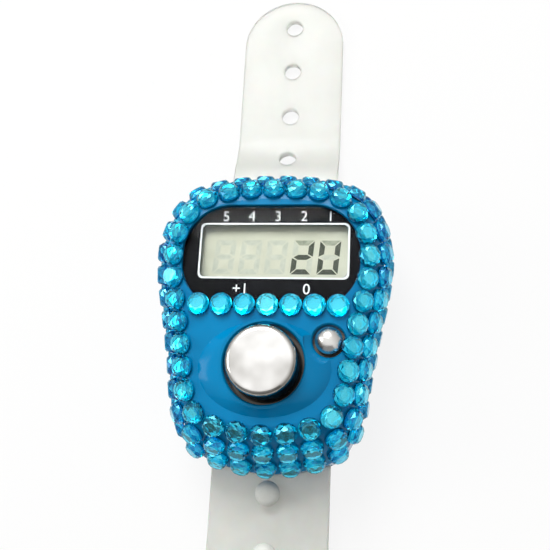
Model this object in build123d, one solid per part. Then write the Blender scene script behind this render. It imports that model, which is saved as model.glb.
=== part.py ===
"""Finger-worn electronic tally counter with a rhinestone-covered case.

Millimetres. The counter lies face up on its back: +Z up, +X to the right, +Y towards the
display end. The origin is the middle of the case on the table.
"""

import os
from math import asin, atan, cos, degrees, radians, sin, tan

from build123d import *

# General clearances
overrun = 1.0
seat_gap = 0.05
slide_gap = 0.1

# Window lens and its printed mask
lens_width = 24.2
lens_height = 14.5
lens_corner = 6.5
lens_thickness = 1.0
lens_sink = 0.1
lens_bevel = 0.35
mask_thickness = 0.1
window_x = 0.3
window_rise = 1.0
window_side = 2.0
window_end = 3.5
window_corner = 0.9
window_margin = 0.5
seat_plate = 1.0

# Button holes in the face
count_hole_radius = 5.3
count_row_gap = 2.25
count_end_gap = 8.2
reset_hole_radius = 2.15
reset_gap = 1.48
reset_bearing = 21.7
reset_side_margin = 4.75
rim_round = 0.5
rim_turn = 60

# Case, wrapped round the lens and the button holes
lens_side_margin = 3.1
lens_end_margin = 5.15
case_y = -0.45
back_depth = 6.4
straight_wall = 3.6
shoulder_rise = 4.0
shoulder_side = 3.5
shoulder_end = 2.15
shoulder_tilt = 0.55
end_draft = 19.75
end_lean = 9.25
wall = 1.5
back_floor = 1.4
back_edge = 2.2
lip_height = 1.0
lip_step = 0.75
lip_gap = 0.12
outline_shares = [
    (0.0, 1.0), (0.24, 0.993), (0.47, 0.972), (0.70, 0.918), (0.87, 0.795), (0.965, 0.61),
    (1.0, 0.39), (0.967, 0.17), (0.895, -0.11), (0.832, -0.38), (0.798, -0.57),
    (0.752, -0.735), (0.635, -0.875), (0.35, -0.966), (0.0, -1.0),
]
wall_shares = (1.0, 0.75, 0.5, 0.25)
shoulder_angles = (0, 18, 36, 54, 72, 90)

# Button mound on the face
mound_lip = 0.6
mound_side = 3.3
mound_end = 0.9
mound_drop = 0.5
mound_height = 0.9
mound_root = 0.3
mound_mid_share = 0.85
mound_mid_rise_share = 0.5

# Display stack under the window
glass_lap_side = 0.7
glass_lap_end = 0.85
glass_thickness = 0.7
contact_ledge = 1.9
polariser_thickness = 0.2
polariser_inset = 0.4
support_height = 1.55
support_rim = 1.6
zebra_width = 1.4
zebra_inset = 0.8

# Circuit board and what is soldered on it
board_thickness = 1.0
board_inset = 3.2
blob_radius = 3.0
blob_height = 1.1
blob_rise = 0.8
capacitor_length = 2.0
capacitor_width = 1.25
capacitor_height = 0.8
capacitor_x = 5.6
capacitor_drop = 2.2

# Button cell and its contacts
cell_radius = 5.8
cell_height = 3.05
cell_cap_radius = 4.6
cell_cap_height = 0.35
cell_drop = 1.5
contact_gap = 0.95
contact_width = 4.0
contact_length = 8.0
contact_thickness = 0.2
clip_width = 5.0
clip_thickness = 0.35
clip_gap = 0.15

# Count button
count_side_gap = 0.45
count_taper = 0.25
count_height = 3.9
count_edge = 0.95
count_lap = 0.7
count_crown = 1.4
count_wall = 0.9
count_post_radius = 2.2
count_travel = 0.95

# Reset button
reset_side_gap = 0.35
reset_height = 0.3
reset_dome = 1.1
reset_lap = 0.2
reset_travel = 0.7

# Shared by both buttons
button_roof = 1.6
flange_thickness = 1.0
flange_room = 0.3
pill_gap = 0.08
pill_height = 0.4
dome_base = 0.5
dome_web = 0.45

# Rubber domes and carbon pills
count_dome_inset = 0.3
count_dome_top_radius = 2.8
count_pill_radius = 1.7
reset_dome_lap = 0.25
reset_dome_top_radius = 1.35
reset_pill_radius = 0.75

# Screws
case_screw_inset = 5.3
case_screw_drop = 0.25
case_boss_radius = 1.7
case_head_radius = 1.7
case_head_height = 1.1
case_head_sink = 0.4
case_shank_radius = 0.9
case_shank_length = 8.6
cover_boss_wall = 0.6
board_screw_top_shares = (0.617, 0.895)
board_screw_low_shares = (0.583, -0.778)
board_post_radius = 1.35
board_head_radius = 1.25
board_head_height = 0.8
board_shank_radius = 0.65
board_shank_length = 3.4
thread_gap = 0.02
drive_slot = 0.4

# Silicone strap
strap_thickness = 1.2
strap_height = 3.4
strap_reach = 55.7
hole_band_half_width = 8.0
hole_band_exit = 0.6
hole_band_droop = 11.0
stud_band_half_width = 8.25
stud_band_exit = 10.0
stud_band_droop = 16.0
slot_gap = 0.15
bead_radius = 1.3
bead_reach = 1.1
bead_gap = 0.15
bead_rib = 1.0
hole_count = 4
hole_radius = 1.3
hole_pitch = 8.0
hole_end = 4.9
stud_count = 4
stud_first = 23.3
stud_neck_radius = 1.15
stud_neck_height = 1.3
stud_head_radius = 1.7
stud_head_height = 0.9

# Rhinestones
stone_radius = 1.5
stone_height = 1.25
stone_girdle = 0.25
stone_table_radius = 0.8
stone_sides = 8
stone_glue = 0.07
rim_pitch = 3.12
rim_angle = 64
upper_pitch = 3.2
upper_angle = 18
lower_pitch = 3.25
lower_drop = 1.85
middle_pitch = 3.12
middle_inset = 1.0
middle_rise = 0.4

# Places on the face that follow from the sizes above
reset_reach = count_hole_radius + reset_gap + reset_hole_radius
reset_x = reset_reach * cos(radians(reset_bearing))
case_half_width = max(lens_width / 2 + lens_side_margin, reset_x + reset_hole_radius + reset_side_margin)
case_half_length = (lens_end_margin + lens_height + count_row_gap + 2 * count_hole_radius + count_end_gap) / 2
lens_y = case_y + case_half_length - lens_end_margin - lens_height / 2
lens_low_y = lens_y - lens_height / 2
window_y = lens_y + window_rise
window_width = lens_width - 2 * window_side
window_height = lens_height - 2 * window_end
glass_width = window_width + 2 * glass_lap_side
glass_height = window_height + 2 * glass_lap_end
count_y = lens_low_y - count_row_gap - count_hole_radius
reset_y = count_y + reset_reach * sin(radians(reset_bearing))
mound_y = count_y - mound_drop
mound_crest = count_hole_radius + mound_lip
mound_half_width = mound_crest + mound_side
mound_half_length = mound_crest + mound_end
middle_y = lens_low_y + middle_rise
middle_count = int((lens_width - 2 * middle_inset) / middle_pitch)
cell_y = lens_y - cell_drop
blob_y = count_y + blob_rise
capacitor_y = count_y - capacitor_drop
case_screw_x = case_half_width - case_screw_inset
case_screw_y = lens_low_y - case_screw_drop

# Button sizes that follow from their holes
count_skirt_radius = count_hole_radius - count_side_gap
count_cap_radius = count_skirt_radius - count_taper
count_flange_radius = count_hole_radius + count_lap
count_inner_radius = count_cap_radius - count_wall
count_dome_radius = count_hole_radius - count_dome_inset
reset_radius = reset_hole_radius - reset_side_gap
reset_flange_radius = reset_hole_radius + reset_lap
reset_dome_radius = reset_hole_radius + reset_dome_lap

# Heights that follow from the sizes above
shoulder_z = back_depth + straight_wall
face_z = shoulder_z + shoulder_rise
mask_z = face_z - lens_sink - lens_thickness - mask_thickness
ceiling_z = mask_z - seat_plate
front_polariser_z = ceiling_z - seat_gap - polariser_thickness
front_glass_z = front_polariser_z - glass_thickness
rear_glass_z = front_glass_z - glass_thickness
reflector_z = rear_glass_z - polariser_thickness
board_top_z = reflector_z - support_height
board_z = board_top_z - board_thickness
cell_top_z = board_z - contact_gap
pocket_z = face_z - button_roof
flange_top_z = pocket_z - slide_gap
flange_z = flange_top_z - flange_thickness


def outline(half_width, half_length, shift=0):
    """Closed shield-shaped outline of the case at the given half sizes."""
    right = [(half_width * x, half_length * y + case_y + shift) for x, y in outline_shares]
    left = [(-x, y) for x, y in reversed(right[1:-1])]
    return Spline(*right, *left, periodic=True)


def case_section(angle, drop=0):
    """Outer half width, half length, shift and height, at an angle up the shoulder."""
    turn = 1 - cos(radians(angle))
    height = shoulder_z + shoulder_rise * sin(radians(angle)) - drop
    climb = height - back_depth
    half_width = case_half_width - shoulder_side * turn
    half_length = case_half_length - climb * tan(radians(end_draft)) - shoulder_end * turn
    shift = climb * tan(radians(end_lean)) - shoulder_tilt * turn
    return half_width, half_length, shift, height


def slice_face(half_width, half_length, shift, height):
    return Pos(0, 0, height) * make_face(outline(half_width, half_length, shift))


def slab(half_width, half_length, bottom, top):
    return extrude(slice_face(half_width, half_length, 0, bottom), top - bottom)


def rod(radius, bottom, top, x=0, y=0):
    tall = Cylinder(radius, top - bottom, align=(Align.CENTER, Align.CENTER, Align.MIN))
    return Pos(x, y, bottom) * tall


def plate(sketch, bottom, thickness, x=0, y=0):
    return Pos(x, y, bottom) * extrude(sketch, thickness)


def turned(points, x=0, y=0):
    """Solid of revolution about a vertical line from radius and height points."""
    profile = Plane.XZ * make_face(Polyline(*points, close=True))
    return Pos(x, y, 0) * revolve(profile, Axis.Z)


def inner_wall_y(x, end):
    """Y of the cover's inner wall at a given X, at the display end (1) or the other (-1)."""
    inner = outline(case_half_width - wall, case_half_length - wall)
    low, high = (0, 0.25) if end > 0 else (0.5, 0.25)
    for _ in range(40):
        middle = (low + high) / 2
        if inner.position_at(middle).X < x:
            low = middle
        else:
            high = middle
    return inner.position_at(low).Y


band_half_width = {1: hole_band_half_width, -1: stud_band_half_width}
band_exit = {1: hole_band_exit, -1: stud_band_exit}
band_droop = {1: hole_band_droop, -1: stud_band_droop}
bead_half_length = {end: band_half_width[end] + bead_reach for end in (1, -1)}
bead_y = {end: abs(inner_wall_y(bead_half_length[end], end)) - bead_radius - bead_gap for end in (1, -1)}
case_screw_places = [(side * case_screw_x, case_screw_y) for side in (-1, 1)]
board_half_width = case_half_width - board_inset
board_half_length = case_half_length - board_inset
board_screw_places = [(side * x * board_half_width, y * board_half_length + case_y)
                      for x, y in (board_screw_top_shares, board_screw_low_shares) for side in (-1, 1)]


def rounded_hole(radius, top_z, x, y):
    """Cutter for an upright button hole whose upper rim is rounded and then flares out."""
    def rim_point(angle):
        side = radius + rim_round * (1 - cos(radians(angle)))
        return side, top_z + rim_round * (sin(radians(angle)) - sin(radians(rim_turn)))

    low, high = rim_point(0), rim_point(rim_turn)
    flare = (high[0] + overrun * sin(radians(rim_turn)), high[1] + overrun * cos(radians(rim_turn)))
    clear_z = flare[1] + mound_height
    rim = ThreePointArc(low, rim_point(rim_turn / 2), high)
    rest = Polyline(high, flare, (flare[0], clear_z), (0, clear_z), (0, ceiling_z), (radius, ceiling_z), low)
    return Pos(x, y, 0) * revolve(Plane.XZ * make_face([rim, rest]), Axis.Z)


def make_front_housing():
    sections = [case_section(0, straight_wall * share) for share in wall_shares]
    sections += [case_section(angle) for angle in shoulder_angles]
    shell = loft([slice_face(*section) for section in sections])
    mound = loft([
        Pos(0, mound_y, face_z - mound_root) * Ellipse(mound_half_width, mound_half_length),
        Pos(0, mound_y, face_z + mound_height * mound_mid_rise_share)
        * Ellipse(mound_half_width * mound_mid_share, mound_half_length * mound_mid_share),
        Pos(0, count_y, face_z + mound_height) * Ellipse(mound_crest, mound_crest),
    ])
    body = shell + mound

    ceiling_angle = degrees(asin((ceiling_z - shoulder_z) / shoulder_rise))
    cavity = [case_section(0, straight_wall), case_section(ceiling_angle)]
    body -= loft([slice_face(width - wall, length - wall, shift, height)
                  for width, length, shift, height in cavity], ruled=True)
    body -= slab(case_half_width - lip_step, case_half_length - lip_step,
                 back_depth - overrun, back_depth + lip_height + lip_gap)
    body -= rod(count_flange_radius + flange_room, ceiling_z - seat_gap, pocket_z, 0, count_y)
    body -= rod(reset_flange_radius + flange_room, ceiling_z - seat_gap, pocket_z, reset_x, reset_y)
    body -= rounded_hole(count_hole_radius, face_z + mound_height, 0, count_y)
    body -= rounded_hole(reset_hole_radius, face_z, reset_x, reset_y)

    recess = RectangleRounded(lens_width + 2 * slide_gap, lens_height + 2 * slide_gap, lens_corner + slide_gap)
    body -= plate(recess, mask_z, face_z - mask_z + overrun, 0, lens_y)
    opening = RectangleRounded(window_width + 2 * window_margin, window_height + 2 * window_margin, window_corner)
    body -= plate(opening, ceiling_z - overrun, seat_plate + 2 * overrun, window_x, window_y)

    for x, y in case_screw_places:
        body += rod(case_boss_radius, back_depth + seat_gap, ceiling_z + seat_plate / 2, x, y)
        tip_z = case_head_sink + case_head_height + case_shank_length + seat_gap
        body -= rod(case_shank_radius + thread_gap, back_depth, tip_z, x, y)
    for x, y in board_screw_places:
        body += rod(board_post_radius, board_top_z, ceiling_z + seat_plate / 2, x, y)
        tip_z = board_z + board_shank_length + seat_gap
        body -= rod(board_shank_radius + thread_gap, board_top_z - overrun, tip_z, x, y)
    return body


def make_rear_cover():
    body = slab(case_half_width, case_half_length, 0, back_depth)
    body = fillet(body.faces().sort_by(Axis.Z)[0].edges(), back_edge)
    body -= slab(case_half_width - wall, case_half_length - wall, back_floor, back_depth + overrun)
    lip_inset = lip_step + lip_gap
    lip = slab(case_half_width - lip_inset, case_half_length - lip_inset, back_depth, back_depth + lip_height)
    lip -= slab(case_half_width - wall, case_half_length - wall, back_floor, back_depth + lip_height + overrun)
    body += lip

    for x, y in case_screw_places:
        counterbore = case_head_radius + slide_gap
        body += rod(counterbore + cover_boss_wall, back_floor / 2, back_depth, x, y)
        body -= rod(case_shank_radius + slide_gap, 0, back_depth + overrun, x, y)
        body -= rod(counterbore, -overrun, case_head_sink + case_head_height, x, y)

    slot_height = strap_thickness + 2 * slot_gap
    for end in (1, -1):
        slot_width = 2 * (band_half_width[end] + slot_gap)
        slot_length = case_half_length + abs(case_y) - bead_y[end] + overrun
        slot = Box(slot_width, slot_length, slot_height)
        body -= Pos(0, end * (bead_y[end] + slot_length / 2), strap_height) * slot
        rib_y = bead_y[end] - bead_radius - bead_gap - bead_rib / 2
        rib = Box(2 * bead_half_length[end], bead_rib, strap_height - back_floor / 2)
        body += Pos(0, end * rib_y, (strap_height + back_floor / 2) / 2) * rib
    return body


def make_window_lens():
    sheet = plate(RectangleRounded(lens_width, lens_height, lens_corner), mask_z + mask_thickness,
                  lens_thickness, 0, lens_y)
    return chamfer(sheet.faces().sort_by(Axis.Z)[-1].edges(), lens_bevel)


def make_window_mask():
    label = plate(RectangleRounded(lens_width, lens_height, lens_corner), mask_z, mask_thickness, 0, lens_y)
    view = RectangleRounded(window_width, window_height, window_corner)
    return label - plate(view, mask_z - overrun, mask_thickness + 2 * overrun, window_x, window_y)


def display_sheet(width, height, bottom, thickness, y=window_y):
    return plate(Rectangle(width, height), bottom, thickness, window_x, y)


def make_display():
    film_width = glass_width - 2 * polariser_inset
    film_height = glass_height - 2 * polariser_inset
    front_y = window_y - contact_ledge / 2
    return {
        "lcd_front_polariser": display_sheet(film_width, film_height, front_polariser_z, polariser_thickness),
        "lcd_front_glass": display_sheet(glass_width, glass_height + contact_ledge, front_glass_z,
                                         glass_thickness, front_y),
        "lcd_rear_glass": display_sheet(glass_width, glass_height, rear_glass_z, glass_thickness),
        "lcd_reflector": display_sheet(film_width, film_height, reflector_z, polariser_thickness),
    }


def make_support_frame():
    frame = display_sheet(glass_width, glass_height, board_top_z, support_height)
    opening = display_sheet(glass_width - 2 * support_rim, glass_height - 2 * support_rim,
                            board_top_z - overrun, support_height + 2 * overrun)
    rebate = display_sheet(glass_width - 2 * polariser_inset + slide_gap,
                           glass_height - 2 * polariser_inset + slide_gap,
                           reflector_z, support_height)
    rest = display_sheet(glass_width, glass_height, board_top_z, rear_glass_z - board_top_z)
    return frame + (rest - frame) - rebate - opening


def make_zebra_strip():
    strip_y = window_y - glass_height / 2 - contact_ledge / 2
    return display_sheet(glass_width - 2 * zebra_inset, zebra_width, board_top_z,
                         front_glass_z - board_top_z, strip_y)


def make_circuit_board():
    board = slab(board_half_width, board_half_length, board_z, board_top_z)
    for x, y in case_screw_places:
        board -= rod(case_boss_radius + flange_room, board_z - overrun, board_top_z + overrun, x, y)
    for x, y in board_screw_places:
        board -= rod(board_shank_radius + slide_gap, board_z - overrun, board_top_z + overrun, x, y)
    return board


def make_chip_blob():
    radius = (blob_radius * blob_radius + blob_height * blob_height) / (2 * blob_height)
    ball = Pos(0, blob_y, board_z - blob_height + radius) * Sphere(radius)
    return ball & rod(blob_radius, board_z - blob_height - overrun, board_z, 0, blob_y)


def make_chip_capacitors():
    block = Box(capacitor_length, capacitor_width, capacitor_height)
    z = board_z - capacitor_height / 2
    return [Pos(side * capacitor_x, capacitor_y, z) * block for side in (-1, 1)]


def make_button_cell():
    can = rod(cell_radius, cell_top_z - cell_height, cell_top_z - cell_cap_height, 0, cell_y)
    return can + rod(cell_cap_radius, cell_top_z - cell_cap_height, cell_top_z, 0, cell_y)


def make_cell_clip():
    half = cell_radius + clip_gap + clip_thickness
    bottom = cell_top_z - cell_height - clip_thickness
    outer = Pos(0, cell_y, (bottom + board_z) / 2) * Box(2 * half, clip_width, board_z - bottom)
    inner_half = half - clip_thickness
    inner_height = board_z - bottom - clip_thickness + overrun
    inner = Box(2 * inner_half, clip_width + 2 * overrun, inner_height)
    return outer - Pos(0, cell_y, bottom + clip_thickness + inner_height / 2) * inner


def make_cell_contact():
    crest = cell_top_z
    sag = board_z - contact_thickness - crest
    chord = contact_length / 2
    radius = (chord * chord + sag * sag) / (2 * sag)
    outer = Pos(0, crest + radius) * Circle(radius)
    inner = Pos(0, crest + radius) * Circle(radius - contact_thickness)
    strip = Rectangle(contact_length, board_z - crest, align=(Align.CENTER, Align.MIN))
    profile = (outer - inner) & (Pos(0, crest) * strip)
    leaf = extrude(Plane.XZ * profile, contact_width / 2, both=True)
    return Pos(0, cell_y, 0) * leaf


def make_count_button():
    top_z = face_z + count_height
    outer = turned([
        (0, flange_z), (count_flange_radius, flange_z), (count_flange_radius, flange_top_z),
        (count_skirt_radius, flange_top_z), (count_cap_radius, top_z), (0, top_z),
    ], 0, count_y)
    top_edge = outer.edges().filter_by(GeomType.CIRCLE).group_by(Axis.Z)[-1]
    outer = fillet(top_edge, count_edge)
    pocket = rod(count_inner_radius, flange_z - overrun, top_z - count_crown, 0, count_y)
    pocket -= rod(count_post_radius, flange_z, top_z, 0, count_y)
    return outer - pocket


def make_reset_button():
    skirt_z = face_z + reset_height
    body = rod(reset_flange_radius, flange_z, flange_top_z, reset_x, reset_y)
    body += rod(reset_radius, flange_top_z, skirt_z, reset_x, reset_y)
    radius = (reset_radius * reset_radius + reset_dome * reset_dome) / (2 * reset_dome)
    ball = Pos(reset_x, reset_y, skirt_z + reset_dome - radius) * Sphere(radius)
    return body + (ball & rod(reset_radius, skirt_z, skirt_z + reset_dome, reset_x, reset_y))


def make_rubber_dome(base_radius, top_radius, pill_radius, travel, x, y):
    """Key dome: a foot ring, a sloping web and a crown that holds the carbon pill."""
    top_z = flange_z - seat_gap
    pill_z = board_top_z + travel + pill_gap
    foot_z = board_top_z + dome_base
    shoulder_radius = base_radius - 2 * dome_web
    web_z = pill_z + pill_height
    inner_top_radius = max(top_radius - dome_web, pill_radius + slide_gap)
    outer = turned([
        (0, board_top_z), (base_radius, board_top_z), (base_radius, foot_z), (shoulder_radius, foot_z),
        (top_radius, web_z), (top_radius, top_z), (0, top_z),
    ], x, y)
    inner = turned([
        (0, board_top_z - overrun), (shoulder_radius - dome_web, board_top_z - overrun),
        (shoulder_radius - dome_web, board_top_z), (inner_top_radius, web_z), (0, web_z),
    ], x, y)
    return outer - inner


def make_pill(radius, travel, x, y):
    pill_z = board_top_z + travel + pill_gap
    return rod(radius, pill_z, pill_z + pill_height, x, y)


def slotted_screw(head_radius, head_height, shank_radius, shank_length, head_z):
    """Pan-head screw pointing up, with its head's underside slot at the bottom."""
    screw = rod(head_radius, head_z, head_z + head_height)
    screw += rod(shank_radius, head_z, head_z + head_height + shank_length)
    slot = Box(2 * head_radius + overrun, drive_slot, head_height)
    return screw - Pos(0, 0, head_z) * slot


def make_case_screws():
    screw = slotted_screw(case_head_radius, case_head_height, case_shank_radius, case_shank_length, case_head_sink)
    return [Pos(x, y, 0) * screw for x, y in case_screw_places]


def make_board_screws():
    screw = slotted_screw(board_head_radius, board_head_height, board_shank_radius, board_shank_length,
                          board_z - board_head_height)
    return [Pos(x, y, 0) * screw for x, y in board_screw_places]


def band_line(end, lift):
    """Side line of a strap band, lifted off its middle line: out, down to the table, and on."""
    drop = strap_height - strap_thickness / 2
    bend = 2 * atan(drop / band_droop[end])
    radius = band_droop[end] / (2 * sin(bend))
    exit_y = case_half_length + end * case_y + band_exit[end]
    out = Line((bead_y[end], strap_height + lift), (exit_y, strap_height + lift))
    down = JernArc(out @ 1, (1, 0), radius + lift, -degrees(bend))
    level = JernArc(down @ 1, down % 1, radius - lift, degrees(bend))
    flat = Line(level @ 1, (strap_reach, (level @ 1).Y))
    return [out, down, level, flat]


def make_band(end):
    """Plain band that leaves the case at the +Y end, with the bead that is trapped in the case."""
    top = band_line(end, strap_thickness / 2)
    bottom = band_line(end, -strap_thickness / 2)
    ends = [Line(top[0] @ 0, bottom[0] @ 0), Line(top[-1] @ 1, bottom[-1] @ 1)]
    profile = make_face([*top, *bottom, *ends])
    half_width = band_half_width[end]
    ribbon = extrude(Plane.YZ * profile, half_width, both=True)
    start = bead_y[end] - bead_radius
    straight = strap_reach - half_width - start
    plan = Pos(0, start + straight / 2) * Rectangle(2 * half_width, straight)
    plan += Pos(0, strap_reach - half_width) * Circle(half_width)
    ribbon &= extrude(Pos(0, 0, -overrun) * plan, strap_height + strap_thickness + 2 * overrun)
    bead = Rot(0, 90, 0) * Cylinder(bead_radius, 2 * bead_half_length[end])
    return ribbon + Pos(0, bead_y[end], strap_height) * bead


def band_plane(end, reach):
    """Plane on the band's middle line at a distance along it, facing up from the band."""
    path = Wire(band_line(end, 0))
    spot = path.position_at(reach, PositionMode.LENGTH)
    way = path.tangent_at(reach, PositionMode.LENGTH)
    return Plane(origin=(0, spot.X, spot.Y), x_dir=(1, 0, 0), z_dir=(0, -way.Y, way.X))


def make_strap_hole_band():
    length = Wire(band_line(1, 0)).length
    band = make_band(1)
    for step in range(hole_count):
        seat = band_plane(1, length - hole_end - step * hole_pitch)
        band -= seat.location * Cylinder(hole_radius, strap_thickness + overrun)
    return band


def make_strap_stud_band():
    band = make_band(-1)
    neck_z = strap_thickness / 2 + stud_neck_height
    stud = turned([
        (0, 0), (stud_neck_radius, 0), (stud_neck_radius, neck_z), (stud_head_radius, neck_z),
        (stud_head_radius, neck_z + stud_head_height / 3), (stud_neck_radius, neck_z + stud_head_height),
        (0, neck_z + stud_head_height),
    ])
    for step in range(stud_count):
        seat = band_plane(-1, stud_first - bead_y[-1] + step * hole_pitch)
        band += seat.location * stud
    return Rot(0, 0, 180) * band


def make_stone():
    """Flat-backed faceted stone, its back on the XY plane."""
    def ring(radius, height, half_step):
        step = 360 / stone_sides
        turns = [radians(step * (index + half_step)) for index in range(stone_sides)]
        return [(radius * cos(turn), radius * sin(turn), height) for turn in turns]

    back = ring(stone_radius, 0, 0)
    girdle = ring(stone_radius, stone_girdle, 0)
    table = ring(stone_table_radius, stone_height, 0.5)
    facets = [back, table]
    for index in range(stone_sides):
        after = (index + 1) % stone_sides
        facets.append([back[index], back[after], girdle[after], girdle[index]])
        facets.append([girdle[index], girdle[after], table[index]])
        facets.append([table[index], table[after], girdle[after]])
    return Solid(Shell([Face(Wire.make_polygon(facet)) for facet in facets]))


def stone_seat(angle, drop, part):
    """Plane tangent to the case, part of the way round it, with room for the glue."""
    half_width, half_length, shift, height = case_section(angle, drop)
    ring = outline(half_width, half_length, shift)
    spot = ring.position_at(part) + Vector(0, 0, height)
    along = ring.tangent_at(part)
    low = case_section(angle - 1, drop)
    high = case_section(angle + 1, drop)
    low_spot = outline(*low[:3]).position_at(part) + Vector(0, 0, low[3])
    high_spot = outline(*high[:3]).position_at(part) + Vector(0, 0, high[3])
    out = along.cross(high_spot - low_spot).normalized()
    if out.dot(Vector(spot.X, spot.Y, 0)) < 0:
        out = out * -1
    return Plane(origin=spot + out * stone_glue, x_dir=along, z_dir=out)


def stone_row(stone, pitch, angle, drop, start):
    """Row of stones round the case at no less than a pitch, start being the first one's part of it."""
    count = int(outline(*case_section(angle, drop)[:3]).length / pitch)
    seats = [stone_seat(angle, drop, ((index + start) / count) % 1) for index in range(count)]
    return [seat.location * stone for seat in seats]


def make_middle_stones(stone):
    first = -middle_pitch * (middle_count - 1) / 2
    return [Pos(first + step * middle_pitch, middle_y, face_z + stone_glue) * stone for step in range(middle_count)]


def main():
    stone = make_stone()
    nodes = {
        "front_housing": make_front_housing(),
        "rear_cover": make_rear_cover(),
        "window_lens": make_window_lens(),
        "window_mask": make_window_mask(),
        **make_display(),
        "lcd_support_frame": make_support_frame(),
        "zebra_strip": make_zebra_strip(),
        "circuit_board": make_circuit_board(),
        "chip_blob": make_chip_blob(),
        "chip_capacitors": make_chip_capacitors(),
        "button_cell": make_button_cell(),
        "cell_clip": make_cell_clip(),
        "cell_contact": make_cell_contact(),
        "count_button": make_count_button(),
        "reset_button": make_reset_button(),
        "count_rubber_dome": make_rubber_dome(count_dome_radius, count_dome_top_radius, count_pill_radius,
                                              count_travel, 0, count_y),
        "reset_rubber_dome": make_rubber_dome(reset_dome_radius, reset_dome_top_radius, reset_pill_radius,
                                              reset_travel, reset_x, reset_y),
        "count_carbon_pill": make_pill(count_pill_radius, count_travel, 0, count_y),
        "reset_carbon_pill": make_pill(reset_pill_radius, reset_travel, reset_x, reset_y),
        "case_screws": make_case_screws(),
        "board_screws": make_board_screws(),
        "strap_hole_band": make_strap_hole_band(),
        "strap_stud_band": make_strap_stud_band(),
        "rim_stones": stone_row(stone, rim_pitch, rim_angle, 0, 0),
        "upper_side_stones": stone_row(stone, upper_pitch, upper_angle, 0, 0.5),
        "lower_side_stones": stone_row(stone, lower_pitch, 0, lower_drop, 0),
        "middle_stones": make_middle_stones(stone),
    }
    os.makedirs("parts", exist_ok=True)
    for name, shape in nodes.items():
        if isinstance(shape, list):
            shape = Compound(children=shape)
        export_step(shape, f"parts/{name}.step")


main()
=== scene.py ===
import math

import bmesh
import bpy
import numpy as np
from mathutils import Matrix, Vector


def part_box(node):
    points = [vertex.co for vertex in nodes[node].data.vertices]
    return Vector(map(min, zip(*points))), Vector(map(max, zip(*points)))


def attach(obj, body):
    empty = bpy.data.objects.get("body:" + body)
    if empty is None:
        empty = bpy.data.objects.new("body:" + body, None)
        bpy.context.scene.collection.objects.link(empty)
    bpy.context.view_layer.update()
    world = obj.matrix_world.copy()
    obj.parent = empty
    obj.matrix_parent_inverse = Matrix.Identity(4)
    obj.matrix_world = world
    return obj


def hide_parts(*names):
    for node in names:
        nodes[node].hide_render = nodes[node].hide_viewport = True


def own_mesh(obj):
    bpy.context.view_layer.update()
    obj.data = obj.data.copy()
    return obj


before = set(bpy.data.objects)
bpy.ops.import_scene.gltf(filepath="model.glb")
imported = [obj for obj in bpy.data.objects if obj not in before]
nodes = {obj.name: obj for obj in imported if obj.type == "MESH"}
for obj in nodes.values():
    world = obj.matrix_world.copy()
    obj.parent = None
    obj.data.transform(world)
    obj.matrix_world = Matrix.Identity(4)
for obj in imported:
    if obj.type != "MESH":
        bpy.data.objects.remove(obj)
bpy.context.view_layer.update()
scene = bpy.context.scene
scene.view_settings.view_transform = "Standard"
MM = 0.001


# Camera
# It looks down on the face from the lower right, and is turned so that the strap stands upright in the
# picture. Its aim and its stand-off are millimetres from the middle of the case on the table.
aim = Vector((-0.10, 6.51, 8.0))
stand_off = 114.6
azimuth, elevation, roll = (math.radians(turn) for turn in (27.92, 71.78, -26.20))
focal_length, sensor_width = 53.06, 36.0
nearest_seen, farthest_seen = 0.01, 10.0
back = Vector((math.sin(azimuth) * math.cos(elevation), -math.cos(azimuth) * math.cos(elevation),
               math.sin(elevation)))
level = Vector((math.cos(azimuth), math.sin(azimuth), 0))
upright = back.cross(level)
right = math.cos(roll) * level + math.sin(roll) * upright
up = math.cos(roll) * upright - math.sin(roll) * level
camera_data = bpy.data.cameras.new("camera")
camera_data.lens, camera_data.sensor_width = focal_length, sensor_width
camera_data.clip_start, camera_data.clip_end = nearest_seen, farthest_seen
camera = bpy.data.objects.new("camera", camera_data)
camera_turn = Matrix((right, up, back)).transposed().to_4x4()
camera.matrix_world = Matrix.Translation((aim + stand_off * back) * MM) @ camera_turn
scene.collection.objects.link(camera)
scene.camera = camera


# Table, room and lamps
# A white table in a white room, a large soft lamp above and beyond the display end, and a weaker one
# at the left. A card on the near side, seen only in mirrors and through clear parts, gives the stones
# something dark to show, and glows mid grey for mirror rays: a painted reflection in metal.
def linear(code):
    """The linear colour of an sRGB hex value."""
    parts = [int(code[place:place + 2], 16) / 255 for place in (1, 3, 5)]
    lights = [part / 12.92 if part <= 0.04045 else ((part + 0.055) / 1.055) ** 2.4 for part in parts]
    return (*lights, 1.0)


def put(tree, kind, inputs=(), **settings):
    """Adds a node with its settings; an input is a value or another node's output."""
    new = tree.nodes.new(kind)
    for name, value in settings.items():
        setattr(new, name, value)
    for name, value in dict(inputs).items():
        if isinstance(value, bpy.types.NodeSocket):
            tree.links.new(value, new.inputs[name])
        else:
            new.inputs[name].default_value = value
    return new


def seen_share(tree):
    """1 for what is seen straight, in a mirror or through glass, and 0 for light that falls on things."""
    path = put(tree, "ShaderNodeLightPath")
    mirrored = put(tree, "ShaderNodeMath", {
        0: path.outputs["Is Camera Ray"], 1: path.outputs["Is Glossy Ray"]}, operation="MAXIMUM")
    seen = put(tree, "ShaderNodeMath", {
        0: mirrored.outputs[0], 1: path.outputs["Is Transmission Ray"]}, operation="MAXIMUM")
    straight = put(tree, "ShaderNodeMath", {
        0: path.outputs["Diffuse Depth"], 1: 0.5}, operation="LESS_THAN")
    share = put(tree, "ShaderNodeMath", {
        0: seen.outputs[0], 1: straight.outputs[0]}, operation="MULTIPLY")
    return share.outputs[0]


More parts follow.
